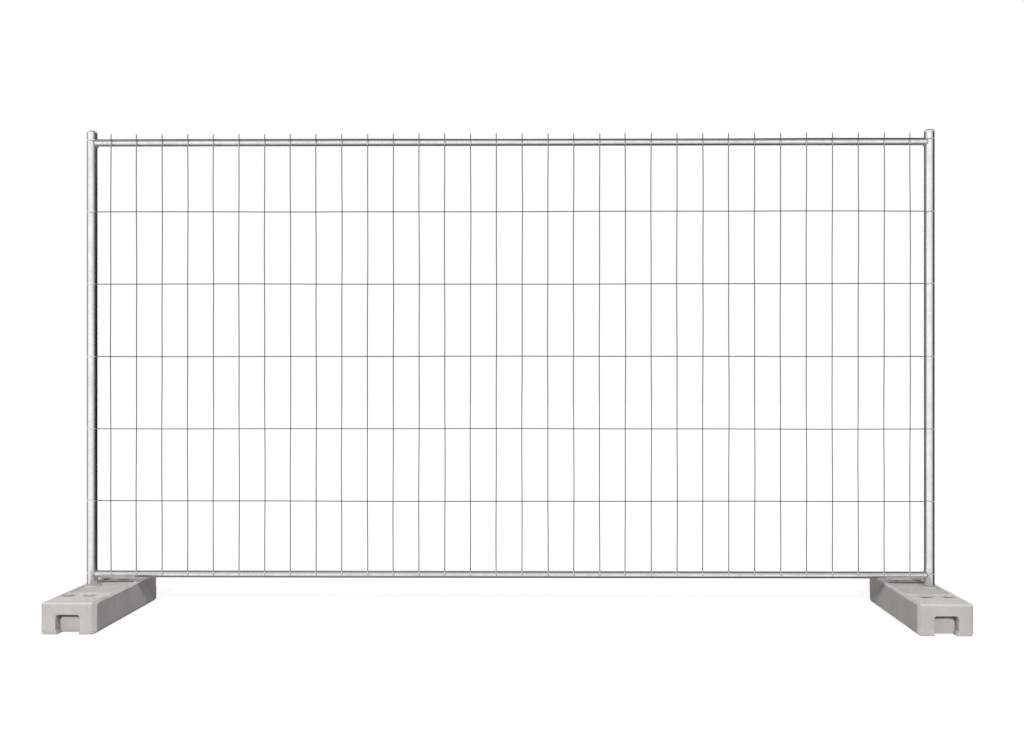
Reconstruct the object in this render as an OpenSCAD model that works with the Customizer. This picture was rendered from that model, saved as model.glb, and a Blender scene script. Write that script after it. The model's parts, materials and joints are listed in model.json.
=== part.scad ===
// Temporary fence panel on two concrete feet.
// A welded frame of two posts and two rails carries a wire mesh on its front.
// The posts stand on the ground inside holes in the feet, and each foot can be turned about its post.
// Lengths are in millimetres. X runs along the panel, the mesh side faces -Y, and Z is up from the ground.
// The origin is on the ground, midway between the feet and at the feet's mid-length.

/* [Posts] */
// Width of the panel over the outsides of both posts
panel_w = 3500; // [2400:10:3600]
// Height of a post with its cap, from the ground
post_h = 2000; // [1900:10:2400]
// Outer diameter of the post tube
post_d = 42; // [38:0.5:48]
// Wall of the post tube
post_wall = 1.5; // [1:0.1:3]
// Height of the cap that shows above the tube of a post
cap_h = 14; // [12:0.5:30]
// Rounding around the top of the cap
cap_r = 10; // [4:0.5:11]
// Bevel on the cap's lower edge, which shows as the seam
cap_seam = 0.8; // [0.3:0.1:1.2]
// Length of the cap's spigot inside the tube
spigot_h = 25; // [10:1:40]

/* [Rails] */
// Outer diameter of the rail tubes
rail_d = 30; // [25:0.5:36]
// Wall of the rail tubes
rail_wall = 1.2; // [1:0.1:3]
// Drop from the tops of the posts to the axis of the top rail
top_rail_drop = 51; // [46:1:120]
// Height of the bottom rail's axis above the ground
bottom_rail_h = 166; // [150:1:260]

/* [Mesh] */
// Number of vertical wires
vertical_count = 32; // [24:1:36]
// Diameter of the vertical wires
vertical_d = 4; // [3:0.1:5]
// Length of the vertical wires that stands above the top rail
spike_h = 18; // [5:1:30]
// Distance from the bottom rail's lower edge up to the ends of the vertical wires
tail_inset = 11; // [0:0.5:13]
// Number of horizontal wires
horizontal_count = 7; // [3:1:9]
// Diameter of the horizontal wires
horizontal_d = 4; // [2.5:0.1:5]
// Height of the first horizontal wire above the axis of the top rail
first_horizontal_rise = 9; // [-30:1:24]
// Height of the last horizontal wire above the axis of the bottom rail
last_horizontal_rise = 7; // [0:1:40]
// Distance from the outside of a post in to the ends of the horizontal wires
horizontal_inset = 7; // [2:0.5:12]

/* [Feet] */
// Width of a foot, along the panel
foot_w = 212; // [205:1:260]
// Length of a foot, across the panel
foot_l = 600; // [560:1:760]
// Height of a foot
foot_h = 120; // [100:1:150]
// Distance from the outer side of a foot to the axis of its post
post_inset = 46; // [44:1:66]
// Distance from a foot's mid-length back to the axis of its post
post_set_back = 36; // [0:1:60]
// Radial clearance of a post in its hole
post_clearance = 0.8; // [0.3:0.1:0.9]
// Width of the bevel around the mouth of each spare hole
hole_bevel = 7; // [3:0.5:10]
// Distance from each end of a foot to its row of spare holes
spare_inset = 141; // [100:1:150]
// Spacing of the two spare holes in a row
spare_pitch = 85; // [70:1:95]
// Rounding of the foot's upper edges
foot_edge_r = 8; // [3:0.5:14]
// Bevel along the foot's lower long edges
foot_sole_bevel = 10; // [2:0.5:12]
// Bevel of the foot's upright corners
corner_bevel = 12; // [4:0.5:20]
// Bevel of the left foot's front corner on the panel side
wide_corner_bevel = 15; // [10:0.5:30]

/* [Foot recesses] */
// Width of the grip recess in each end of a foot
grip_w = 95; // [80:1:120]
// Height of the grip recess
grip_h = 75; // [50:1:80]
// Depth of the grip recess
grip_depth = 40; // [20:1:50]
// Rounding of the grip recess's upper corners
grip_r = 14; // [4:0.5:20]
// Width of the toe that narrows the grip recess at the ground, on each side
grip_toe_w = 8; // [2:0.5:12]
// Height of that toe
grip_toe_h = 16; // [6:0.5:24]
// Depth of the shallow recess in the top of a foot
recess_depth = 4; // [2:0.5:10]
// Distance from each end of a foot to the shallow recess
recess_inset = 187; // [180:1:210]
// Distance from each long side of a foot to the shallow recess
recess_margin = 19; // [12:0.5:24]
// Rounding of the shallow recess's corners
recess_r = 10; // [3:0.5:20]
// Width of the collar that stands in the shallow recess around the post's hole, level with the foot's top
collar_w = 8; // [4:0.5:12]
// Bevel around the mouth of the post's hole
collar_bevel = 2; // [0.5:0.5:3]

/* [Reinforcement] */
// Diameter of the bars cast into a foot
bar_d = 8; // [6:1:10]
// Concrete between a bar and the foot's side
bar_cover = 12; // [8:1:14]
// Concrete between the ends of a bar and the ends of the foot
bar_end_cover = 40; // [30:1:80]
// Height of the bars' axes above the ground
bar_h = 40; // [25:1:60]

/* [Hidden] */
$fn = 48;
// Gap left at every welded contact, so that neighbours touch without running into each other
weld_gap = 0.1;
// Radial play of a cap's spigot in the tube
spigot_gap = 0.4;
// Gap between a cast-in bar and the concrete
cast_gap = 0.05;
// How far a cut runs past the face that it opens
overrun = 1;

zinc = [0.74, 0.75, 0.76];
zinc_wire = [0.66, 0.67, 0.68];
concrete = [0.78, 0.77, 0.74];
bar_steel = [0.36, 0.30, 0.27];

LEFT = -1;
RIGHT = 1;

// Posts stand on the panel's plane, which lies behind the feet's mid-length.
post_r = post_d / 2;
post_x = panel_w / 2 - post_r;
panel_y = post_set_back;
tube_top_z = post_h - cap_h;
spigot_r = post_r - post_wall - spigot_gap;

// The horizontal wires lie on the posts' fronts, the vertical wires behind them, and the rails behind those.
horizontal_y = panel_y - post_r - weld_gap - horizontal_d / 2;
vertical_y = horizontal_y + horizontal_d / 2 + weld_gap + vertical_d / 2;
rail_y = vertical_y + vertical_d / 2 + weld_gap + rail_d / 2;

top_rail_z = post_h - top_rail_drop;
bottom_rail_z = bottom_rail_h;

vertical_pitch = panel_w / (vertical_count + 1);
vertical_top_z = top_rail_z + rail_d / 2 + spike_h;
vertical_bottom_z = bottom_rail_z - rail_d / 2 + tail_inset;

first_horizontal_z = top_rail_z + first_horizontal_rise;
last_horizontal_z = bottom_rail_z + last_horizontal_rise;
horizontal_pitch = (first_horizontal_z - last_horizontal_z) / (horizontal_count - 1);
horizontal_len = panel_w - 2 * horizontal_inset;

foot_x = post_x + post_inset - foot_w / 2;
hole_r = post_r + post_clearance;
outer_hole_x = foot_w / 2 - post_inset;
inner_hole_x = outer_hole_x - spare_pitch;
spare_y = foot_l / 2 - spare_inset;
recess_w = foot_w - 2 * recess_margin;
recess_l = foot_l - 2 * recess_inset;
bar_x = foot_w / 2 - bar_cover - bar_d / 2;
bar_len = foot_l - 2 * bar_end_cover;

function two_digits(n) = n < 10 ? str("0", n) : str(n);
function vertical_name(n) = str("vertical_wire_", two_digits(n));
function horizontal_name(n) = str("horizontal_wire_", n);

// Turns a half-section around the axis of the post on the given side.
module around_post(side) {
    translate([side * post_x, panel_y, 0]) rotate_extrude() children();
}

// Half-section of the open tube, from the ground up to the cap.
module post_section() {
    translate([post_r - post_wall, 0]) square([post_wall, tube_top_z]);
}

module left_post() {
    color(zinc) around_post(LEFT) post_section();
}

module right_post() {
    color(zinc) around_post(RIGHT) post_section();
}

// Half-section of a round bar with a rounded end: its side, its end, and the radius between them.
module rounded_end(radius, height, rounding) {
    square([radius, height - rounding]);
    square([radius - rounding, height]);
    intersection() {
        square([radius, height]);
        translate([radius - rounding, height - rounding]) circle(rounding);
    }
}

// Half-section of a cap: a rounded cup that stands on the tube, and the spigot that centres it inside.
module cap_section() {
    difference() {
        translate([0, tube_top_z]) rounded_end(post_r, cap_h, cap_r);
        translate([0, tube_top_z - overrun])
            rounded_end(spigot_r - post_wall, cap_h - post_wall + overrun, cap_r - post_wall);
        translate([post_r, tube_top_z]) rotate(45) square(cap_seam * sqrt(2), center = true);
    }
    translate([spigot_r - post_wall, tube_top_z - spigot_h]) square([post_wall, spigot_h]);
}

module left_post_cap() {
    color(zinc) around_post(LEFT) cap_section();
}

module right_post_cap() {
    color(zinc) around_post(RIGHT) cap_section();
}

// A round bar or the bore of a tube, lying along X and centred on the panel's middle.
module along_panel(length, diameter) {
    rotate([0, 90, 0]) cylinder(h = length, d = diameter, center = true);
}

// A tube from post to post, with both ends cut to the posts' round sides.
module rail(z) {
    difference() {
        translate([0, rail_y, z]) difference() {
            along_panel(2 * post_x, rail_d);
            along_panel(2 * post_x + 2 * overrun, rail_d - 2 * rail_wall);
        }
        for (side = [LEFT, RIGHT])
            translate([side * post_x, panel_y, 0]) cylinder(h = post_h, r = post_r + weld_gap);
    }
}

module top_rail() {
    color(zinc) rail(top_rail_z);
}

module bottom_rail() {
    color(zinc) rail(bottom_rail_z);
}

// Wires are counted from the left post.
module vertical_wire(n) {
    color(zinc_wire)
        translate([-panel_w / 2 + n * vertical_pitch, vertical_y, vertical_bottom_z])
            cylinder(h = vertical_top_z - vertical_bottom_z, d = vertical_d);
}

// Wires are counted from the top rail.
module horizontal_wire(n) {
    color(zinc_wire)
        translate([0, horizontal_y, first_horizontal_z - (n - 1) * horizontal_pitch])
            along_panel(horizontal_len, horizontal_d);
}

// Outline of a foot from above, with its own bevel on each upright corner.
// X points out of the panel's end, and the front of the foot is at -Y.
module foot_plan(front_inner_bevel) {
    x = foot_w / 2;
    y = foot_l / 2;
    b = corner_bevel;
    f = front_inner_bevel;
    polygon([
        [-x + f, -y], [x - b, -y], [x, -y + b], [x, y - b],
        [x - b, y], [-x + b, y], [-x, y - b], [-x, -y + f]
    ]);
}

// Upright section of a foot across the given width: rounded above, bevelled below.
module foot_section(width, sole_bevel) {
    x = width / 2;
    s = sole_bevel;
    r = foot_edge_r;
    union() {
        polygon([[-x + s, 0], [x - s, 0], [x, s], [x, foot_h - r], [-x, foot_h - r], [-x, s]]);
        translate([-x + r, foot_h - 2 * r]) square([width - 2 * r, 2 * r]);
        for (side = [LEFT, RIGHT]) translate([side * (x - r), foot_h - r]) circle(r);
    }
}

// The foot before anything is cut from it: what the plan and both upright sections have in common.
module foot_mass(front_inner_bevel) {
    intersection() {
        linear_extrude(foot_h) foot_plan(front_inner_bevel);
        rotate([90, 0, 0]) linear_extrude(foot_l, center = true) foot_section(foot_w, foot_sole_bevel);
        rotate([90, 0, 90]) linear_extrude(foot_w, center = true) foot_section(foot_l, 0);
    }
}

// A hole right through the foot, with a bevel of the given width where it opens at the top.
module post_hole(bevel) {
    translate([0, 0, -overrun]) cylinder(h = foot_h + 2 * overrun, r = hole_r);
    translate([0, 0, foot_h - bevel])
        cylinder(h = bevel + overrun, r1 = hole_r, r2 = hole_r + bevel + overrun);
}

// Hand grip: an arch in the foot's end, open below and narrowed there by a toe on each side.
// It is drawn in the plane of the end face.
module grip_outline() {
    x = grip_w / 2;
    toe_x = x - grip_toe_w;
    union() {
        polygon([
            [-toe_x, -overrun], [toe_x, -overrun], [toe_x, 0], [x, grip_toe_h],
            [x, grip_h - grip_r], [-x, grip_h - grip_r], [-x, grip_toe_h], [-toe_x, 0]
        ]);
        translate([-x + grip_r, grip_toe_h]) square([grip_w - 2 * grip_r, grip_h - grip_toe_h]);
        for (side = [LEFT, RIGHT]) translate([side * (x - grip_r), grip_h - grip_r]) circle(grip_r);
    }
}

module grip_cut() {
    translate([0, -foot_l / 2 + grip_depth, 0])
        rotate([90, 0, 0]) linear_extrude(grip_depth + overrun) grip_outline();
}

// Shallow recess in the middle of the foot's top, which leaves a collar around the post's hole.
module recess_cut() {
    translate([0, 0, foot_h - recess_depth]) linear_extrude(recess_depth + overrun) difference() {
        union() {
            square([recess_w - 2 * recess_r, recess_l], center = true);
            square([recess_w, recess_l - 2 * recess_r], center = true);
            for (sx = [LEFT, RIGHT], sy = [LEFT, RIGHT])
                translate([sx * (recess_w / 2 - recess_r), sy * (recess_l / 2 - recess_r)]) circle(recess_r);
        }
        translate([outer_hole_x, post_set_back]) circle(hole_r + collar_w);
    }
}

// Two straight bars along the foot, near its long sides.
module bar_pair(diameter, length) {
    for (side = [LEFT, RIGHT])
        translate([side * bar_x, 0, bar_h])
            rotate([90, 0, 0]) cylinder(h = length, d = diameter, center = true);
}

module foot_block(front_inner_bevel) {
    difference() {
        foot_mass(front_inner_bevel);
        recess_cut();
        translate([outer_hole_x, post_set_back, 0]) post_hole(collar_bevel);
        for (x = [outer_hole_x, inner_hole_x], end = [LEFT, RIGHT])
            translate([x, end * spare_y, 0]) post_hole(hole_bevel);
        grip_cut();
        rotate([0, 0, 180]) grip_cut();
        bar_pair(bar_d + 2 * cast_gap, bar_len + 2 * cast_gap);
    }
}

module left_foot_block() {
    color(concrete) translate([-foot_x, 0, 0]) mirror([1, 0, 0]) foot_block(wide_corner_bevel);
}

module right_foot_block() {
    color(concrete) translate([foot_x, 0, 0]) foot_block(corner_bevel);
}

module left_foot_bars() {
    color(bar_steel) translate([-foot_x, 0, 0]) bar_pair(bar_d, bar_len);
}

module right_foot_bars() {
    color(bar_steel) translate([foot_x, 0, 0]) bar_pair(bar_d, bar_len);
}

left_post();
left_post_cap();
right_post();
right_post_cap();
top_rail();
bottom_rail();
for (n = [1 : vertical_count]) vertical_wire(n);
for (n = [1 : horizontal_count]) horizontal_wire(n);
left_foot_block();
left_foot_bars();
right_foot_block();
right_foot_bars();
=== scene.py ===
"""Temporary fence panel: a galvanised tube frame with a welded wire mesh, standing in two concrete feet."""
import json
from math import radians

import bpy
import numpy as np
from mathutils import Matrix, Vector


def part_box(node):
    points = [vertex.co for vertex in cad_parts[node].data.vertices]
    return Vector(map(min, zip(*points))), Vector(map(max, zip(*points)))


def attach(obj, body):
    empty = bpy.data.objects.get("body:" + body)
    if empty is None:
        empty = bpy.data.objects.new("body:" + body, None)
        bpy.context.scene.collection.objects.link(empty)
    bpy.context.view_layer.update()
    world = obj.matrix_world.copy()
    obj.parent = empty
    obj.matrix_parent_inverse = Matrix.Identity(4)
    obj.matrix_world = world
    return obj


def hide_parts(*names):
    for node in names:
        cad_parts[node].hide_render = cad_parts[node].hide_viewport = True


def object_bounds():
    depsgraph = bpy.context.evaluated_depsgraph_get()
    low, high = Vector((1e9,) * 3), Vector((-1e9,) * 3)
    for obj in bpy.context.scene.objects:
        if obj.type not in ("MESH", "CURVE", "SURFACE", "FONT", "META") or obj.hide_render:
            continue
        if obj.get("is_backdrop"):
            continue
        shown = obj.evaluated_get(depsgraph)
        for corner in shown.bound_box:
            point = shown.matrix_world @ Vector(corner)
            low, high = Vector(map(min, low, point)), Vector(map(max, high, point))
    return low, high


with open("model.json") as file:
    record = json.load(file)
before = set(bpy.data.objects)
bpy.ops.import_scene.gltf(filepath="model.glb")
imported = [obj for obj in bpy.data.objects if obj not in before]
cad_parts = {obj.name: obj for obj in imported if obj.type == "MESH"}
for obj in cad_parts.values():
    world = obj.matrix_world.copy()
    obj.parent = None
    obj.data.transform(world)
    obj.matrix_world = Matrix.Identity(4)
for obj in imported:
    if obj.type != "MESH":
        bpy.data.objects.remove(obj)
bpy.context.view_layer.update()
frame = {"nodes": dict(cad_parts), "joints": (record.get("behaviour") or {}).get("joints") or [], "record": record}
scene = bpy.context.scene
scene.view_settings.view_transform = "Standard"


# Posts and caps.
# Two steel tubes, hot-dip galvanised as part of the welded panel, each closed by a pressed cap.
# The CAD solids have the true shape, so they stay and get the zinc: bright crystals, dull clouds and runs.
ZINC_BRIGHT = (0.87, 0.87, 0.875, 1)
ZINC_DULL = (0.70, 0.70, 0.705, 1)
ZINC_CLOUDS, ZINC_GRIT, ZINC_DRAWN = 11.0, 420.0, (1, 1, 0.05)
CLOUDY_SPAN = (0.75, 1.25)
BRIGHT_SHARES, UNEVEN_SHARES = (0.35, 0.65), (0.6, 0.4)
ZINC_DEPTH = 0.001
# The height below which the zinc is darker and rougher, more so nearer the ground.
LOW_DULLING_TOP = 0.70
MIX_SHARE, MIX_FIRST, MIX_SECOND, MIX_RESULT = 0, 6, 7, 2


def node(tree, kind, inputs=None, **settings):
    """A shader node with its settings, each named input taking a value or a link from another output."""
    made = tree.nodes.new("ShaderNode" + kind)
    for name, value in settings.items():
        setattr(made, name, value)
    for name, value in (inputs or {}).items():
        if isinstance(value, bpy.types.NodeSocket):
            tree.links.new(value, made.inputs[name])
        else:
            made.inputs[name].default_value = value
    return made


def blend_colour(tree, share, first, second):
    """The colour that goes from the first to the second as the share goes from 0 to 1."""
    mixed = node(tree, "Mix", {MIX_SHARE: share, MIX_FIRST: first, MIX_SECOND: second}, data_type="RGBA")
    return mixed.outputs[MIX_RESULT]


def ramp(tree, value, from_low, from_high, to_low=0.0, to_high=1.0):
    """A value carried in a straight line from one span to another, and held at its ends."""
    return node(tree, "MapRange", {"Value": value, "From Min": from_low, "From Max": from_high,
                                   "To Min": to_low, "To Max": to_high}).outputs[0]


def calc(tree, operation, first, second=0.0):
    """One sum of two values, or of one where the operation takes no more."""
    return node(tree, "Math", {0: first, 1: second}, operation=operation).outputs[0]


def weighted(tree, values, shares):
    """The sum of some values, each times its share."""
    total, *rest = (calc(tree, "MULTIPLY", value, share) for value, share in zip(values, shares))
    for part in rest:
        total = calc(tree, "ADD", total, part)
    return total


def noise(tree, place, scale, detail, roughness=0.5):
    """Cloudy noise from 0 to 1, with about that many clouds to the metre."""
    return node(tree, "TexNoise", {"Vector": place, "Scale": scale, "Detail": detail,
                                   "Roughness": roughness}).outputs[0]


def fresh_material(name):
    """A new material with its node tree, its shader, and the place on the piece that its patterns read."""
    made = bpy.data.materials.new(name)
    made.use_nodes = True
    tree = made.node_tree
    return made, tree, tree.nodes["Principled BSDF"], node(tree, "TexCoord").outputs["Object"]


def dress(tree, shader, colour, roughness, height, strength, depth):
    """Gives a shader its colour and roughness, and a bump from a height of that strength and depth."""
    raised = node(tree, "Bump", {"Height": height, "Strength": strength, "Distance": depth}).outputs[0]
    for name, value in (("Base Color", colour), ("Roughness", roughness), ("Normal", raised)):
        tree.links.new(value, shader.inputs[name])


def zinc_coat():
    """The node group of a zinc coat.

    Crystals are Voronoi cells with a random shade each, clouds are noise at the size of a hand, and runs are
    noise drawn out along the height. Shade says how bright the zinc is, Dull how rough, Height how uneven.
    """
    tree = bpy.data.node_groups.new("zinc_coat", "ShaderNodeTree")
    for name, kind in (("Place", "Vector"), ("Crystals", "Float"), ("Runs", "Float")):
        tree.interface.new_socket(name, in_out="INPUT", socket_type="NodeSocket" + kind)
    for name in ("Shade", "Dull", "Height"):
        tree.interface.new_socket(name, in_out="OUTPUT", socket_type="NodeSocketFloat")
    given = tree.nodes.new("NodeGroupInput").outputs
    cells = node(tree, "TexVoronoi", {"Vector": given["Place"], "Scale": given["Crystals"]})
    shade = node(tree, "SeparateColor", {"Color": cells.outputs["Color"]}).outputs[0]
    clouds = noise(tree, given["Place"], ZINC_CLOUDS, detail=5.0)
    drawn = node(tree, "Mapping", {"Vector": given["Place"], "Scale": ZINC_DRAWN}).outputs[0]
    runs = noise(tree, drawn, given["Runs"], detail=3.0)
    grit = noise(tree, given["Place"], ZINC_GRIT, detail=3.0)
    cloudy = ramp(tree, calc(tree, "ADD", clouds, runs), *CLOUDY_SPAN)
    given_back = tree.nodes.new("NodeGroupOutput").inputs
    for name, value in (("Shade", weighted(tree, (shade, cloudy), BRIGHT_SHARES)),
                        ("Dull", calc(tree, "SUBTRACT", 1.0, cloudy)),
                        ("Height", weighted(tree, (grit, runs), UNEVEN_SHARES))):
        tree.links.new(value, given_back[name])
    return tree


def zinc_material(name, coat, bright, dull, crystals, runs, smooth, rough, bump, low_dulling):
    """Galvanised steel: the zinc coat sets colour, roughness and bump, and the zinc is darker and rougher near the
    ground.
    """
    made, tree, shader, place = fresh_material(name)
    zinc = node(tree, "Group", {"Place": place, "Crystals": crystals, "Runs": runs}, node_tree=coat).outputs
    height = node(tree, "SeparateXYZ", {0: place}).outputs["Z"]
    # Darker and rougher towards the ground.
    low_dulling_share = ramp(tree, height, 0.0, LOW_DULLING_TOP, low_dulling, 0.0)
    shade = calc(tree, "SUBTRACT", zinc["Shade"], low_dulling_share)
    worn = calc(tree, "ADD", zinc["Dull"], low_dulling_share)
    dress(tree, shader, blend_colour(tree, shade, dull, bright), ramp(tree, worn, 0.0, 1.0, smooth, rough),
          zinc["Height"], bump, ZINC_DEPTH)
    shader.inputs["Metallic"].default_value = 1.0
    return made


def coat_solid(name, material):
    """Gives a CAD solid its finish."""
    slots = frame["nodes"][name].data.materials
    slots.clear()
    slots.append(material)


coat = zinc_coat()
tube_zinc = zinc_material("tube_zinc", coat, ZINC_BRIGHT, ZINC_DULL, crystals=90.0, runs=60.0,
                          smooth=0.14, rough=0.26, bump=0.15, low_dulling=0.12)
for name in ("left_post", "left_post_cap", "right_post", "right_post_cap"):
    coat_solid(name, tube_zinc)


# Rails.
# Two thinner tubes between the posts, saddle-cut at both ends and galvanised with the rest.
# The CAD solids stay, with the posts' zinc.
RAILS = ("top_rail", "bottom_rail")
for name in RAILS:
    coat_solid(name, tube_zinc)


# Weld beads.
# Each rail is welded to each post by a bead of molten steel all the way round its saddle cut.
# The bead was laid in short steps, sagged below the tube, and was galvanised over.
BEAD_R = 0.0026
BEAD_SAG = 0.0016
BEAD_RIPPLE = 0.00022
BEAD_STEPS = 44
BEAD_LIFT = 0.0006
BEAD_RINGS, BEAD_SIDES = 176, 12
WELD_BRIGHT = (0.56, 0.56, 0.56, 1)
WELD_DULL = (0.36, 0.36, 0.36, 1)
weld_zinc = zinc_material("weld_zinc", coat, WELD_BRIGHT, WELD_DULL, crystals=260.0, runs=200.0,
                          smooth=0.34, rough=0.58, bump=0.5, low_dulling=0.2)


def round_angles(count):
    """That many equal steps round a circle, as angles."""
    return np.linspace(0, 2 * np.pi, count, endpoint=False)


def ring_faces(rings, sides, closed=False):
    """Quads between neighbouring rings of points, each ring closed on itself, and the last on the first if asked."""
    i, j = np.mgrid[0:rings if closed else rings - 1, 0:sides]
    above, beside = (i + 1) % rings * sides, (j + 1) % sides
    return np.stack([i * sides + j, i * sides + beside, above + beside, above + j], -1).reshape(-1, 4)


def show(name, data):
    """An object at the origin that puts a mesh, a lamp or a camera into the scene."""
    made = bpy.data.objects.new(name, data)
    scene.collection.objects.link(made)
    return made


def piece(name, points, faces, material):
    """A smooth mesh of these points and faces that moves with the panel."""
    mesh = bpy.data.meshes.new(name)
    mesh.from_pydata(points.reshape(-1, 3).tolist(), [], faces)
    mesh.shade_smooth()
    mesh.materials.append(material)
    made = show(name, mesh)
    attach(made, "panel")
    return made


def unit(vectors):
    """The same directions with a length of one."""
    return vectors / np.linalg.norm(vectors, axis=-1, keepdims=True)


def saddle_bead(post, rail):
    """A tube round the curve where a rail meets a post.

    The curve goes round the rail by an angle, at the depth where the rail's side reaches the post's round side.
    The tube's circle stands in the plane across the curve and swells in ripples, and more below than above.
    """
    post_low, post_high = np.array(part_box(post))
    rail_low, rail_high = np.array(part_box(rail))
    axis, rail_axis = (post_low + post_high) / 2, (rail_low + rail_high) / 2
    post_r, rail_r = (post_high[1] - post_low[1]) / 2, (rail_high[2] - rail_low[2]) / 2
    turn = round_angles(BEAD_RINGS)
    outward = np.stack([0 * turn, np.cos(turn), np.sin(turn)], -1)
    curve = rail_axis + rail_r * outward
    depth = np.sqrt(post_r ** 2 - (curve[:, 1] - axis[1]) ** 2)
    curve[:, 0] = axis[0] - np.sign(axis[0]) * depth
    from_post = unit((curve - axis) * (1, 1, 0))
    along = unit(np.roll(curve, -1, 0) - np.roll(curve, 1, 0))
    out = unit(outward + from_post)
    across = np.cross(along, out)
    radius = BEAD_R + BEAD_SAG * np.clip(-outward[:, 2], 0, 1) ** 2 + BEAD_RIPPLE * np.cos(BEAD_STEPS * turn)
    round_it = round_angles(BEAD_SIDES)[None, :, None]
    ring = np.cos(round_it) * out[:, None] + np.sin(round_it) * across[:, None]
    return (curve + BEAD_LIFT * out)[:, None] + radius[:, None, None] * ring


bead_faces = ring_faces(BEAD_RINGS, BEAD_SIDES, closed=True).tolist()
for rail in RAILS:
    for side in ("left", "right"):
        piece(f"{side}_{rail}_weld", saddle_bead(f"{side}_post", rail), bead_faces, weld_zinc)


# Mesh wires.
# 32 upright wires stand in front of the rails and end in short spikes, and 7 level wires cross in front of them.
# They are drawn steel, galvanised, a millimetre or so out of straight, and painted brighter where they cross the tubes:
# partly zinc that gathered there, partly a painted highlight like the bright tubes behind.
WIRE_SIDES = 10
WIRE_STEP = 0.022
CUT_LENGTH, CUT_SHARE = 0.0006, 0.72
UPRIGHT_SWAYS, UPRIGHT_SEED = ((0.0009, 1.9), (0.0005, 0.62)), 32
LEVEL_SWAYS, LEVEL_SEED = ((0.0008, 2.7), (0.0004, 0.9)), 7
WIRE_BRIGHT = (0.21, 0.21, 0.213, 1)
WIRE_DULL = (0.155, 0.155, 0.157, 1)
# Colour of the wires where they cross the tubes: thicker zinc, and a painted highlight.
POOLED_ZINC_AND_HIGHLIGHT = (0.93, 0.93, 0.93, 1)
POOL_FADE = 0.002
TOP_POOL_DROP, TOP_POOL_HALF, TOP_POOL = 0.005, 0.008, 0.5
X_AXIS, Y_AXIS, Z_AXIS = np.eye(3)
wire_zinc = zinc_material("wire_zinc", coat, WIRE_BRIGHT, WIRE_DULL, crystals=240.0, runs=150.0,
                          smooth=0.22, rough=0.36, bump=0.2, low_dulling=0.1)


def pool_zinc_and_highlight(material, pools):
    """Brighter colour on a wire, partly thicker zinc and partly a painted highlight, full within half a pool's width of
    its middle and gone a little further out.

    Each pool is an axis, the middle's place on it, half the width, and a share.
    """
    tree = material.node_tree
    shader = tree.nodes["Principled BSDF"]
    place = node(tree, "SeparateXYZ", {0: node(tree, "TexCoord").outputs["Object"]}).outputs
    pooled_and_lit = 0.0
    for axis, middle, half, share in pools:
        away = calc(tree, "ABSOLUTE", calc(tree, "SUBTRACT", place[axis], middle))
        pooled_and_lit = calc(tree, "MAXIMUM", ramp(tree, away, half, half + POOL_FADE, share, 0.0), pooled_and_lit)
    drawn = shader.inputs["Base Color"].links[0].from_socket
    tree.links.new(blend_colour(tree, pooled_and_lit, drawn, POOLED_ZINC_AND_HIGHLIGHT), shader.inputs["Base Color"])


def tube_pool(name, axis):
    """The span that a tube covers across its own length: its middle and half its width."""
    low, high = (corner["XYZ".index(axis)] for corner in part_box(name))
    return (low + high) / 2, (high - low) / 2


def sway(along, sways, phases):
    """How far each wire stands off its straight line: a long and a short wave, with its own phases."""
    return sum(size * np.sin(2 * np.pi * along / length + phase) for (size, length), phase in zip(sways, phases))


def wire_rings(low, high, radius):
    """Places of a wire's rings from end to end and their radii, the last at each end drawn in at the cut."""
    steps = np.linspace(low + CUT_LENGTH, high - CUT_LENGTH, int((high - low) / WIRE_STEP))
    radii = np.full(len(steps) + 2, radius)
    radii[[0, -1]] *= CUT_SHARE
    return np.concatenate([[low], steps, [high]]), radii


def drawn_wire(name, centres, radii, first, second):
    """A circle in the plane of two directions, carried along the centres and closed by a flat at each cut end."""
    turn = round_angles(WIRE_SIDES)[None, :, None]
    points = centres[:, None] + radii[:, None, None] * (np.cos(turn) * first + np.sin(turn) * second)
    last = (len(centres) - 1) * WIRE_SIDES
    ends = [list(range(WIRE_SIDES))[::-1], list(range(last, last + WIRE_SIDES))]
    faces = ring_faces(len(centres), WIRE_SIDES).tolist() + ends
    return piece(name, points, faces, wire_zinc)


# The wires are painted bright in front of the posts and the bottom rail, and half as bright just below the top rail's
# middle.
top_pool_z = tube_pool("top_rail", "Z")[0] - TOP_POOL_DROP
pool_zinc_and_highlight(wire_zinc, [("X", *tube_pool("left_post", "X"), 1.0), ("X", *tube_pool("right_post", "X"), 1.0),
                      ("Z", *tube_pool("bottom_rail", "Z"), 1.0), ("Z", top_pool_z, TOP_POOL_HALF, TOP_POOL)])
uprights = sorted(name for name in frame["nodes"] if name.startswith("vertical_wire"))
levels = sorted(name for name in frame["nodes"] if name.startswith("horizontal_wire"))
upright_boxes = np.array([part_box(name) for name in uprights])
level_boxes = np.array([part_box(name) for name in levels])
upright_phases = np.random.default_rng(UPRIGHT_SEED).uniform(0, 2 * np.pi, (2, len(uprights), 1))
level_phases = np.random.default_rng(LEVEL_SEED).uniform(0, 2 * np.pi, (2, len(levels), 1))
for index, (low, high) in enumerate(upright_boxes):
    height, radii = wire_rings(low[2], high[2], (high[1] - low[1]) / 2)
    centres = np.repeat([(low + high) / 2], len(height), 0)
    centres[:, 2] = height
    centres[:, 0] += sway(height, UPRIGHT_SWAYS, upright_phases[:, index])
    strand = drawn_wire(f"upright_strand_{index + 1:02d}", centres, radii, X_AXIS, Y_AXIS)
    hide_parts(uprights[index])
for index, (low, high) in enumerate(level_boxes):
    across, radii = wire_rings(low[0], high[0], (high[1] - low[1]) / 2)
    centres = np.repeat([(low + high) / 2], len(across), 0)
    centres[:, 0] = across
    centres[:, 2] += sway(across, LEVEL_SWAYS, level_phases[:, index])
    strand = drawn_wire(f"level_strand_{index + 1}", centres, radii, Y_AXIS, Z_AXIS)
    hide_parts(levels[index])


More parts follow.
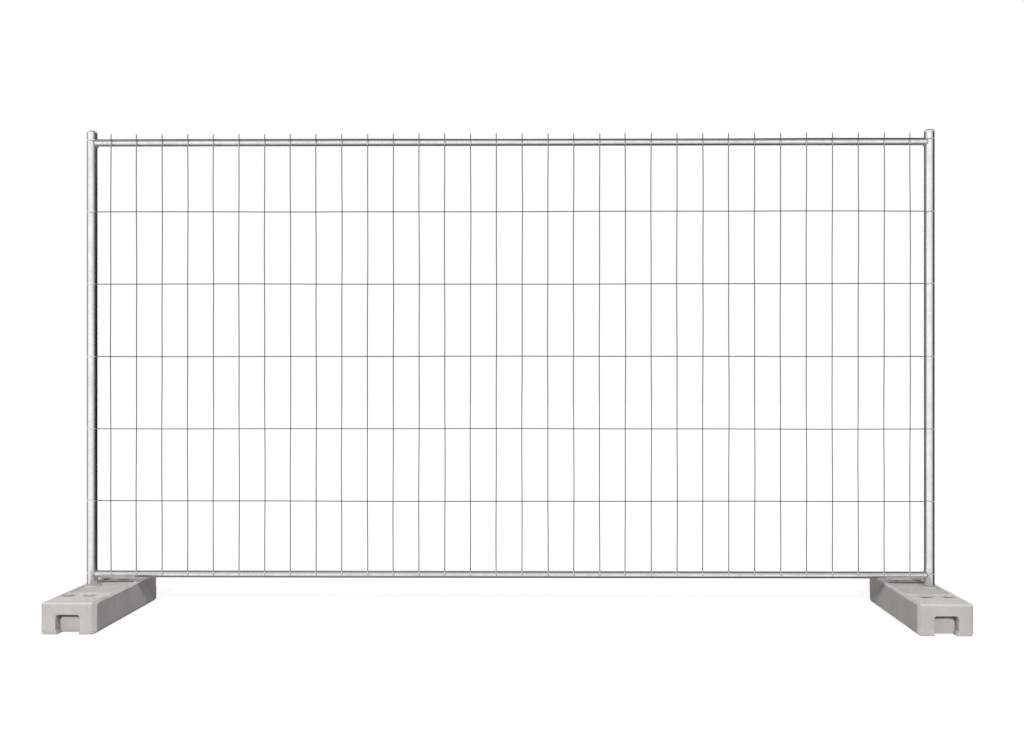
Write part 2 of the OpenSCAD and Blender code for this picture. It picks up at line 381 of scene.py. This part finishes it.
# Spot welds and spatter.
# The wires are resistance-welded wherever they cross each other, the rails and the posts, which leaves a small
# squeezed collar of metal. Drops from the hand-laid beads stuck to the posts around the rails' ends.
COLLAR_RINGS, COLLAR_SIDES = 5, 8
COLLAR_LEAST, COLLAR_MOST = 0.85, 1.2
CROSSING_SIZE = (0.0030, 0.0016, 0.0027)
RAIL_SIZE = (0.0036, 0.0014, 0.0046)
POST_SIZE = (0.0052, 0.0013, 0.0028)
SPATTER_SIZE = (0.0011, 0.0011, 0.0011)
SPATTER_COUNT, SPATTER_TURN, SPATTER_RISE, SPATTER_SEED = 26, radians(65), 0.016, 11


def collars(centres, size, seed):
    """An oval ball at each centre, a little different in size from its neighbours, as one array of points."""
    tilt = np.linspace(0, np.pi, COLLAR_RINGS + 2)[1:-1, None, None]
    turn = round_angles(COLLAR_SIDES)[None, :, None]
    ball = np.sin(tilt) * (np.cos(turn) * X_AXIS + np.sin(turn) * Y_AXIS) - np.cos(tilt) * Z_AXIS
    drawn = np.random.default_rng(seed).uniform(COLLAR_LEAST, COLLAR_MOST, (len(centres), 1, 1))
    return centres[:, None] + ball.reshape(1, -1, 3) * (drawn * np.array(size))


def collar_faces(count):
    """The faces of that many balls: quads between the rings, and a flat closing each end."""
    first, points = list(range(COLLAR_SIDES))[::-1], COLLAR_RINGS * COLLAR_SIDES
    last = list(range(points - COLLAR_SIDES, points))
    starts = (np.arange(count) * points)[:, None, None]
    quads = ring_faces(COLLAR_RINGS, COLLAR_SIDES)[None] + starts
    caps = np.array([first, last])[None] + starts
    return quads.reshape(-1, 4).tolist() + caps.reshape(-1, COLLAR_SIDES).tolist()


def weld_spots(name, x, y, z, size, material, seed):
    """One piece that holds a ball of weld metal at every place with these coordinates."""
    centres = np.stack(np.broadcast_arrays(x, y, z), -1).reshape(-1, 3)
    piece(name, collars(centres, size, seed), collar_faces(len(centres)), material)


upright_x, level_z = upright_boxes[:, :, 0].mean(1), level_boxes[:, :, 2].mean(1)
upright_back, level_back = upright_boxes[0, 1, 1], level_boxes[0, 1, 1]
rail_z = np.array([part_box(rail) for rail in RAILS])[:, :, 2].mean(1)
post_low, post_high = np.array(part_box("right_post"))
post_axis, post_r = (post_low + post_high) / 2, (post_high[0] - post_low[0]) / 2
post_x = np.array([-post_axis[0], post_axis[0]])
weld_spots("crossing_welds", upright_x[:, None] + sway(level_z, UPRIGHT_SWAYS, upright_phases), level_back,
           (level_z[:, None] + sway(upright_x, LEVEL_SWAYS, level_phases)).T, CROSSING_SIZE, wire_zinc, seed=1)
weld_spots("rail_welds", upright_x[:, None] + sway(rail_z, UPRIGHT_SWAYS, upright_phases), upright_back,
           rail_z, RAIL_SIZE, wire_zinc, seed=2)
weld_spots("post_welds", post_x, level_back,
           level_z[:, None] + sway(post_x, LEVEL_SWAYS, level_phases), POST_SIZE, weld_zinc, seed=3)
drops = np.random.default_rng(SPATTER_SEED)
turn = drops.uniform(-SPATTER_TURN, SPATTER_TURN, (2, 2, SPATTER_COUNT))
rise = drops.normal(0, SPATTER_RISE, turn.shape)
side = np.array([-1, 1]).reshape(2, 1, 1)
weld_spots("spatter", side * (post_axis[0] - post_r * np.sin(np.abs(turn))), post_axis[1] - post_r * np.cos(turn),
           rail_z[None, :, None] + rise, SPATTER_SIZE, weld_zinc, seed=4)


# Feet.
# Each foot is one casting of pale concrete with holes for posts and a hand grip in each end.
# A copy of the CAD solid gets what the mould and years of handling left: uneven faces, worn edges, chips and soil.
# Darker cement also paints shade in its hollows and holes and the bottom rail's shadow; its tops are painted paler as
# lit.
VOXEL, REMESH_DEPTH, REMESH_SHARE, SKIN_MERGE = 0.0026, 8, 0.9, 0.00002
LATTICE = 32
SWELLS = ((0.00055, 0.120), (0.00035, 0.030), (0.00015, 0.009))
SHARP_START, SHARP_FULL, SHARP_ROUNDS = 0.03, 0.12, 2
CHIP_DEPTH, CHIP_SIZE, CHIP_START, CHIP_DRAW = 0.0060, 0.017, 0.22, 5
LIP_WIDTH, LIP_DEPTH, LIP_SIZE, LIP_DRAW = 0.014, 0.0022, 0.021, 6
SEAM_IN, SEAM_HALF, SEAM_DEPTH, SEAM_BREAK = 0.0100, 0.0045, 0.0022, -0.4
BRINK_HALF, BRINK_LEVEL = 0.010, 0.8
RECESS_DEPTH, RIDGE_X, RIDGE_Y = 0.004, 0.006, 0.020
EDGE_WORN, COLLAR_WORN, COLLAR_REACH = 0.16, 0.35, 0.034
RECESS_UP, SEAM_UP, BRINK_UP, BEVEL_UP, WALL_UP, SIDE_OUT = 0.9, 0.6, 0.2, 0.96, 0.5, 0.7
# Hollows, the seam and the chips are darkened as painted shade along with soil; the recess floor is just darker.
HOLLOW_DIRT_AND_SHADE, RECESS_DARKER, CHIP_DIRT_AND_SHADE, SEAM_DIRT_AND_SHADE, SEAM_MIDDLE_DIRT_AND_SHADE = 0.45, 0.24, 0.5, 1.0, 0.7
# The spare holes' bevels are painted shaded.
BEVEL_W, BEVEL_SHADE = 0.008, 0.45
# Painted shadow of the bottom rail on the top behind the recess, and how far back it reaches.
RAIL_SHADOW, RAIL_SHADOW_LENGTH = 0.62, 0.11
# Painted shadow on the sides, behind a line that slopes down to the back.
SIDE_SHADOW, SIDE_SHADOW_START, SIDE_SHADOW_SLOPE, SIDE_SHADOW_FADE = 0.48, 0.012, 1.15, 0.025
# How much darker the cement is near the ground, and within what reach of the sole.
SOLE_DARKER, SOLE_REACH = 0.3, 0.018
CEMENT_LIGHT = (0.56, 0.538, 0.512, 1)
CEMENT_DARK = (0.45, 0.429, 0.404, 1)
# Paler colour of faces that look up: a settled film, and painted light that makes tops brighter than sides.
CEMENT_DUST_AND_TOP_LIGHT = (0.76, 0.735, 0.70, 1)
CEMENT_EDGE = (0.92, 0.898, 0.866, 1)
# The soil colour, also used to paint shade and shadow on the cement.
CEMENT_GRIME_AND_SHADE = (0.15, 0.137, 0.119, 1)
# Air holes are painted this dark, as the shade inside them.
AIR_HOLE_SHADE = (0.26, 0.25, 0.23, 1)
CEMENT_CLOUDS, CEMENT_BLOTS, CEMENT_SAND, CEMENT_RUNS, CEMENT_CELLS = 7.0, 60.0, 520.0, 45.0, 62.0
CEMENT_DRAWN = (1, 1, 0.08)
HOLE_CHOICE, HOLE_BRIM, HOLE_SHADE = (0.72, 0.80), (0.07, 0.14), 0.6
TONE_SHARES, TONE_SPAN, TONE_ROUGH = (0.55, 0.25, 0.20), (0.36, 0.64), (0.92, 0.78)
DUST_AND_TOP_LIGHT_SHARES, DUST_AND_TOP_LIGHT_SPAN, DUST_AND_TOP_LIGHT_LEVELS = (0.5, 0.5), (0.36, 0.62), (0.4, 1.0)
EDGE_SPAN = (0.3, 0.6)
GRIME_AND_SHADE_SPAN, GRIME_AND_SHADE_LEVELS = (0.3, 0.7), (0.6, 1.0)
SAND_BUMP, CEMENT_BUMP, CEMENT_DEPTH = 0.35, 0.6, 0.0012


def cement():
    """Cast concrete: cloudy cement with sand in it, air holes painted dark as shade, pale worn edges, soil, tops
    painted paler as lit, and darker cement as painted shade and shadow.
    """
    made, tree, shader, place = fresh_material("foot_cement")
    clouds = noise(tree, place, CEMENT_CLOUDS, detail=6.0, roughness=0.6)
    blots = noise(tree, place, CEMENT_BLOTS, detail=4.0, roughness=0.6)
    sand = noise(tree, place, CEMENT_SAND, detail=2.0)
    drawn = node(tree, "Mapping", {"Vector": place, "Scale": CEMENT_DRAWN}).outputs[0]
    runs = noise(tree, drawn, CEMENT_RUNS, detail=3.0)
    # Air holes: some Voronoi cells are painted dark, as the shade inside them, and sunk by the bump.
    cells = node(tree, "TexVoronoi", {"Vector": place, "Scale": CEMENT_CELLS}).outputs
    chosen = ramp(tree, node(tree, "SeparateColor", {"Color": cells["Color"]}).outputs[0], *HOLE_CHOICE)
    hole = calc(tree, "MULTIPLY", ramp(tree, cells["Distance"], *HOLE_BRIM, 1.0, 0.0), chosen)
    worn, grime_and_shade, dust_and_top_light = (node(tree, "Attribute", attribute_name=name).outputs["Fac"]
                         for name in ("worn_edge", "grime_and_shade", "dust_and_top_light"))
    tone = weighted(tree, (clouds, sand, runs), TONE_SHARES)
    colour = blend_colour(tree, ramp(tree, tone, *TONE_SPAN), CEMENT_DARK, CEMENT_LIGHT)
    # Paler patches on faces that look up: a settled film, and painted light on the tops.
    patches = ramp(tree, weighted(tree, (clouds, blots), DUST_AND_TOP_LIGHT_SHARES), *DUST_AND_TOP_LIGHT_SPAN, *DUST_AND_TOP_LIGHT_LEVELS)
    for share, level, paint in ((dust_and_top_light, patches, CEMENT_DUST_AND_TOP_LIGHT), (worn, ramp(tree, clouds, *EDGE_SPAN), CEMENT_EDGE),
                                (grime_and_shade, ramp(tree, runs, *GRIME_AND_SHADE_SPAN, *GRIME_AND_SHADE_LEVELS), CEMENT_GRIME_AND_SHADE),
                                (hole, HOLE_SHADE, AIR_HOLE_SHADE)):
        colour = blend_colour(tree, calc(tree, "MULTIPLY", share, level), colour, paint)
    grain = calc(tree, "SUBTRACT", calc(tree, "MULTIPLY", sand, SAND_BUMP), hole)
    dress(tree, shader, colour, ramp(tree, tone, *TONE_SPAN, *TONE_ROUGH), grain, CEMENT_BUMP, CEMENT_DEPTH)
    return made


def lattice_noise(points, cell, seed):
    """Smooth noise from -1 to 1: random values on a cubic lattice, blended between the eight around a point."""
    values = np.random.default_rng(seed).uniform(-1, 1, (LATTICE,) * 3)
    low = np.floor(points / cell).astype(int)
    part = points / cell - low
    part = part * part * (3 - 2 * part)
    total = np.zeros(len(points))
    for corner in np.ndindex(2, 2, 2):
        weight = np.prod(np.where(corner, part, 1 - part), -1)
        total += weight * values[tuple(((low + corner) % LATTICE).T)]
    return total


def spread(values, edges):
    """Each point's mean with its neighbours along the mesh's edges."""
    first, second = edges.T
    count = np.bincount(edges.ravel(), minlength=len(values))
    total = np.bincount(first, values[second], len(values)) + np.bincount(second, values[first], len(values))
    return total / np.maximum(count, 1)


def read(items, name, width, kind=float):
    """One property of all the points, edges or loops of a mesh, as an array with that many numbers in a row."""
    values = np.empty(len(items) * width, kind)
    items.foreach_get(name, values)
    return values.reshape(-1, width)


def even_skin(block, bars):
    """The block's outer skin as a mesh of small even quads, without the hollows that hold its bars.

    The node's loose triangles are read as one array, those at the bars' height and inside are left out, and a
    weld and a remesh that keeps sharp edges go over the rest.
    """
    source = frame["nodes"][block].data
    loops = read(source.loops, "vertex_index", 1, int)
    triangles = read(source.vertices, "co", 3)[loops[:, 0]].reshape(-1, 3, 3)
    low, high = np.array(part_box(bars))
    middle = triangles.mean(1)
    buried = ((middle > low - VOXEL) & (middle < high + VOXEL)).all(1) & \
        ((triangles[..., 2] > low[2] - VOXEL) & (triangles[..., 2] < high[2] + VOXEL)).all(1)
    kept = triangles[~buried]
    mesh = bpy.data.meshes.new(block + "_skin")
    mesh.from_pydata(kept.reshape(-1, 3).tolist(), [], np.arange(len(kept) * 3).reshape(-1, 3).tolist())
    holder = show(block + "_skin", mesh)
    holder.modifiers.new("weld", "WELD").merge_threshold = SKIN_MERGE
    remesh = holder.modifiers.new("remesh", "REMESH")
    remesh.mode, remesh.octree_depth, remesh.scale = "SHARP", REMESH_DEPTH, REMESH_SHARE
    remesh.use_remove_disconnected = False
    made = bpy.data.meshes.new_from_object(holder.evaluated_get(bpy.context.evaluated_depsgraph_get()))
    bpy.data.objects.remove(holder)
    bpy.data.meshes.remove(mesh)
    return made


def casting(side, material, lip, soil, seed):
    """One foot: the even skin, moved along its normals by swells, and in by chips on its edges.

    The sole stays flat and the holes stay round and true, so the post keeps its play. The lip is a stretch of
    rough, broken edge along the top on the panel's side, with a seam beside it. Soil lies all over the foot.
    The walls and bevels of the holes, the hollows, the seam and the chips get painted shade, the recess floor is
    darker, and behind the recess the top gets a painted shadow of the bottom rail, which goes on down the sides behind
    a line that slopes to the back.
    has run from there down the sides, behind a line that slopes to the back.
    """
    block, bars = f"{side}_foot_block", f"{side}_foot_bars"
    mesh = even_skin(block, bars)
    points, normals = read(mesh.vertices, "co", 3), read(mesh.vertex_normals, "vector", 3)
    edges = read(mesh.edges, "vertices", 2, int)
    around = np.stack([spread(points[:, axis], edges) for axis in range(3)], -1)
    sharp = ((points - around) * normals).sum(1) / VOXEL
    for _ in range(SHARP_ROUNDS):
        sharp = spread(sharp, edges)
    edge, hollow = (np.clip((sign * sharp - SHARP_START) / (SHARP_FULL - SHARP_START), 0, 1) for sign in (1, -1))
    low, high = np.array(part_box(block))
    inner = high[0] if side == "left" else low[0]
    sunk = (np.abs(points[:, 2] - high[2] + RECESS_DEPTH) < VOXEL / 2) & (normals[:, 2] > RECESS_UP)
    floor_low, floor_high = points[sunk].min(0), points[sunk].max(0)
    beyond = np.maximum(floor_low - points, points - floor_high)[:, :2]
    ridge = np.clip(1 - (beyond / (RIDGE_X, RIDGE_Y)).max(1), 0, 1) * (beyond.max(1) > -VOXEL / 4) * \
        (points[:, 2] > high[2] - RECESS_DEPTH / 2)
    offset = sum(size * lattice_noise(points, cell, seed + n) for n, (size, cell) in enumerate(SWELLS))
    chips = np.clip(lattice_noise(points, CHIP_SIZE, seed + CHIP_DRAW) - CHIP_START, 0, 1)
    offset -= CHIP_DEPTH * chips * edge
    inward, near_top = np.abs(points[:, 0] - inner), points[:, 2] > high[2] - LIP_WIDTH
    ragged = lattice_noise(points, LIP_SIZE, seed + LIP_DRAW)
    offset += lip * LIP_DEPTH * (np.clip(1 - inward / LIP_WIDTH, 0, 1) * near_top) * ragged
    off_seam = np.abs(inward - SEAM_IN)
    seam = lip * np.clip(1 - off_seam / SEAM_HALF, 0, 1) * (normals[:, 2] > SEAM_UP) * (ragged > SEAM_BREAK)
    offset -= SEAM_DEPTH * seam
    brink = np.clip(off_seam / SEAM_HALF - 1, 0, 1) * (off_seam < BRINK_HALF)
    brink *= lip * (normals[:, 2] > BRINK_UP) * near_top * np.clip(BRINK_LEVEL + ragged, 0, 1)
    # Behind the recess the top gets a painted shadow of the bottom rail, strongest at the recess wall and fading
    # further back.
    behind = points[:, 1] - floor_high[1]
    rail_shadow_share = np.clip(1 - behind / RAIL_SHADOW_LENGTH, 0, 1) * (behind > -VOXEL / 4) * (beyond[:, 0] < 0)
    ridge[rail_shadow_share > 0] = 0
    beside = np.abs(points[:, 1]) < floor_high[1]
    # Darker cement: soil, painted shade in the hollows, a darker recess floor, the painted shadow of the bottom rail
    # behind the recess, and painted shade in the seam and the chips.
    dirt_and_shade = soil + HOLLOW_DIRT_AND_SHADE * hollow + RECESS_DARKER * sunk
    dirt_and_shade += RAIL_SHADOW * rail_shadow_share * (points[:, 2] > high[2] - 2 * RECESS_DEPTH)
    dirt_and_shade += np.where(beside, SEAM_MIDDLE_DIRT_AND_SHADE, SEAM_DIRT_AND_SHADE) * seam + CHIP_DIRT_AND_SHADE * chips * edge
    # The sides get a painted shadow behind a line that slopes down from the recess's back edge towards the back.
    side_shadow_share = (behind - SIDE_SHADOW_START - SIDE_SHADOW_SLOPE * (high[2] - points[:, 2])) / SIDE_SHADOW_FADE
    dirt_and_shade += SIDE_SHADOW * np.clip(side_shadow_share, 0, 1) * (np.abs(normals[:, 0]) > SIDE_OUT)
    worn = np.maximum(np.maximum(EDGE_WORN * edge, ridge), brink)
    bores = [mount for mount in frame["record"]["mounts"] if mount["kind"] == "bore"]
    hole_r = bores[0]["dims"]["r_mm"] / 1000
    centres = [(mount["pos_m"][:2], True) for mount in bores]
    centres += [(joint["pos_m"][:2], False) for joint in frame["joints"]]
    for centre, spare in centres:
        away = points[:, :2] - np.array(centre)
        distance = np.linalg.norm(away, axis=1)
        wall = (np.abs(distance - hole_r) < VOXEL) & (np.abs(normals[:, 2]) < WALL_UP)
        offset[distance < hole_r + VOXEL] = 0
        points[wall, :2] = np.array(centre) + away[wall] / distance[wall, None] * hole_r
        # Every hole's wall is painted fully dark as the shade inside it, and a spare hole's bevel is painted shaded and
        # not worn.
        dirt_and_shade[wall] = 1
        if spare:
            rim = (distance < hole_r + BEVEL_W) & (normals[:, 2] < BEVEL_UP)
            dirt_and_shade[rim], worn[rim] = np.maximum(dirt_and_shade[rim], BEVEL_SHADE), 0
        else:
            worn[distance < COLLAR_REACH] *= COLLAR_WORN
    offset[points[:, 2] < VOXEL] = 0
    points += normals * offset[:, None]
    points[:, 2] = np.clip(points[:, 2], 0, high[2])
    mesh.vertices.foreach_set("co", points.ravel())
    # Darker towards the ground, fading out at a set height above the sole.
    low_down = np.clip(1 - points[:, 2] / SOLE_REACH, 0, 1)
    # How much each face looks up, which paints it paler: a settled film, and painted light on the tops.
    dust_and_top_light = np.clip(normals[:, 2], 0, 1) ** 2
    # One share of darkening for each point: soil, painted shade and painted shadow.
    grime_and_shade = np.clip(np.maximum(dirt_and_shade, SOLE_DARKER * low_down), 0, 1)
    for name, values in (("worn_edge", worn), ("grime_and_shade", grime_and_shade), ("dust_and_top_light", dust_and_top_light)):
        mesh.attributes.new(name, "FLOAT", "POINT").data.foreach_set("value", values)
    mesh.shade_smooth()
    mesh.materials.clear()
    mesh.materials.append(material)
    mesh.update()
    made = show(f"{side}_foot_casting", mesh)
    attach(made, f"{side}_foot")
    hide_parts(block)


foot_cement = cement()
casting("left", foot_cement, lip=1.0, soil=0.0, seed=40)
casting("right", foot_cement, lip=0.25, soil=0.15, seed=60)


# Bars in the feet.
# Two plain steel bars lie inside each casting and keep it whole when it is dropped.
# They are buried, so their rust only shows where a casting is taken away.
RUST_DARK = (0.16, 0.075, 0.04, 1)
RUST_LIGHT = (0.34, 0.17, 0.09, 1)
RUST_FLAKES = 160.0
RUST_SPAN, RUST_ROUGH_SPAN, RUST_ROUGH = (0.35, 0.65), (0.3, 0.7), (0.7, 0.95)
RUST_BUMP, RUST_DEPTH = 0.5, 0.0006
bar_rust, tree, shader, place = fresh_material("bar_rust")
flakes = noise(tree, place, RUST_FLAKES, detail=6.0, roughness=0.65)
dress(tree, shader, blend_colour(tree, ramp(tree, flakes, *RUST_SPAN), RUST_DARK, RUST_LIGHT),
      ramp(tree, flakes, *RUST_ROUGH_SPAN, *RUST_ROUGH), flakes, RUST_BUMP, RUST_DEPTH)
for name in ("left_foot_bars", "right_foot_bars"):
    coat_solid(name, bar_rust)


# Floor.
# A plain pale floor that takes the object's shadow and otherwise shows as white as the backdrop.
# Mirrored rays pass it by and see the room of the next section, which has no horizon.
FLOOR_HALF = 30.0
FLOOR_ALBEDO = (0.26, 0.26, 0.26, 1)
FLOOR_GLOW = 0.82


def seen_straight(tree):
    """One for a ray from the camera or through glass, and nought for the rest."""
    path = node(tree, "LightPath").outputs
    return calc(tree, "MAXIMUM", path["Is Camera Ray"], path["Is Transmission Ray"])


floor_paint = bpy.data.materials.new("floor_paint")
floor_paint.use_nodes = True
tree = floor_paint.node_tree
tree.nodes.remove(tree.nodes["Principled BSDF"])
matt = node(tree, "BsdfDiffuse", {"Color": FLOOR_ALBEDO}).outputs[0]
glow = node(tree, "Emission", {"Strength": calc(tree, "MULTIPLY", seen_straight(tree), FLOOR_GLOW)}).outputs[0]
both = node(tree, "AddShader", {0: matt, 1: glow}).outputs[0]
tree.links.new(both, tree.nodes["Material Output"].inputs["Surface"])
mesh = bpy.data.meshes.new("floor")
mesh.from_pydata((FLOOR_HALF * np.array([(-1, -1, 0), (1, -1, 0), (1, 1, 0), (-1, 1, 0)])).tolist(), [], [(0, 1, 2, 3)])
mesh.materials.append(floor_paint)
floor = show("floor", mesh)
floor.visible_glossy = False
floor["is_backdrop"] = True


# Light.
# A soft key lamp in front, a weaker one on each side, and fill from overhead and behind. Metal mirrors a room that is
# white in front, dark at the right and above, and white again behind, round two dark flags with a gap between them.
LAMPS = (("key_lamp", 0, radians(24.5), 2.6), ("left_lamp", radians(-75), radians(10.8), 1.06),
         ("right_lamp", radians(75), radians(10.8), 0.64))
LAMP_SPREAD = radians(5)
FILL_LEVEL, FILL_OVERHEAD, FILL_BACK, FILL_BACK_EDGE = 0.04, 0.60, 0.30, 0.5
FRONT_WHITE, FRONT_TOP, BACK_LEVEL, BACK_TOP, DARKEST = 1.18, 0.15, 0.85, 0.28, 0.008
DARK_LEFT, WHITE_LEFT, WHITE_RIGHT, DARK_RIGHT = radians(-128), radians(-52), radians(5), radians(95)
DARK_LOW, WHITE_LOW, WHITE_HIGH, DARK_HIGH = radians(-100), radians(10), radians(28), radians(74)
BACK_DARK, BACK_WHITE = radians(70), radians(110)
FLAG_TOP, FLAG_BRINK, FLAG_END, FLAG_GAP = radians(12), radians(24), radians(148), radians(166)
STRIP_WHITE, STRIP_DARK = radians(44), radians(58)


def eased(tree, value, dark, white, dark_level=0.0):
    """A brightness that swings smoothly from a dark level up to one, as a value goes from a dark to a white end."""
    return node(tree, "MapRange", {"Value": value, "From Min": dark, "From Max": white, "To Min": dark_level},
                interpolation_type="SMOOTHSTEP").outputs[0]


def dimmed(tree, brightness, shares):
    """A brightness times all of its shares."""
    for share in shares:
        brightness = calc(tree, "MULTIPLY", share, brightness)
    return brightness


for name, turn, rise, energy in LAMPS:
    lamp = bpy.data.lights.new(name, "SUN")
    lamp.energy, lamp.angle = energy, LAMP_SPREAD
    holder = show(name, lamp)
    holder.rotation_euler = (radians(90) - rise, 0, turn)
    holder.visible_glossy = False
room = bpy.data.worlds.new("room")
scene.world = room
room.use_nodes = True
tree = room.node_tree
tree.nodes.clear()
direction = node(tree, "TexCoord").outputs["Generated"]
rightward, backward, upward = node(tree, "SeparateXYZ", {0: direction}).outputs
level = calc(tree, "ADD", ramp(tree, upward, 0.0, 1.0, FILL_LEVEL, FILL_OVERHEAD),
             ramp(tree, backward, FILL_BACK_EDGE, 1.0, 0.0, FILL_BACK))
bearing = calc(tree, "ARCTAN2", rightward, calc(tree, "MULTIPLY", backward, -1))
height = calc(tree, "ARCSINE", upward)
aside, off_level = calc(tree, "ABSOLUTE", bearing), calc(tree, "ABSOLUTE", height)
front = dimmed(tree, FRONT_WHITE, (
    eased(tree, bearing, DARK_LEFT, WHITE_LEFT), eased(tree, bearing, DARK_RIGHT, WHITE_RIGHT),
    eased(tree, height, DARK_LOW, WHITE_LOW), eased(tree, height, DARK_HIGH, WHITE_HIGH, FRONT_TOP)))
past_flags = calc(tree, "MAXIMUM", eased(tree, off_level, FLAG_TOP, FLAG_BRINK),
                  eased(tree, aside, FLAG_END, FLAG_GAP))
behind = dimmed(tree, BACK_LEVEL, (
    eased(tree, aside, BACK_DARK, BACK_WHITE), past_flags, eased(tree, height, -STRIP_DARK, -STRIP_WHITE),
    eased(tree, height, STRIP_DARK, STRIP_WHITE, BACK_TOP)))
mirrored = calc(tree, "ADD", calc(tree, "ADD", front, behind), DARKEST)
fill, glow, white = (node(tree, "Background", {"Color": (1, 1, 1, 1), "Strength": strength}).outputs[0]
                     for strength in (level, mirrored, 1.0))
unseen = node(tree, "MixShader", {0: node(tree, "LightPath").outputs["Is Glossy Ray"], 1: fill, 2: glow}).outputs[0]
sky = node(tree, "MixShader", {0: seen_straight(tree), 1: unseen, 2: white}).outputs[0]
node(tree, "OutputWorld", {"Surface": sky})


# Camera.
# It stands 4.1 m in front, a little right of the middle, at half the panel's height, and looks level.
# The lens is shifted, because the photograph's optical axis is not at the middle of its frame.
CAMERA_PLACE, CAMERA_TURN = (0.1849, -4.1193, 0.9861), radians(0.448)
IMAGE_W, IMAGE_H = 1024, 730
FOCAL_PX, AXIS_X_PX, AXIS_Y_PX = 1006.2, 546.3, 375.7
SENSOR = 36.0
lens = bpy.data.cameras.new("camera")
lens.sensor_width = SENSOR
lens.lens = SENSOR * FOCAL_PX / IMAGE_W
lens.shift_x = (IMAGE_W / 2 - AXIS_X_PX) / IMAGE_W
lens.shift_y = (AXIS_Y_PX - IMAGE_H / 2) / IMAGE_W
camera = show("camera", lens)
camera.location = CAMERA_PLACE
camera.rotation_euler = (radians(90), 0, CAMERA_TURN)
scene.camera = camera


# Bounds of the dressed model's shown parts.
low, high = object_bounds()
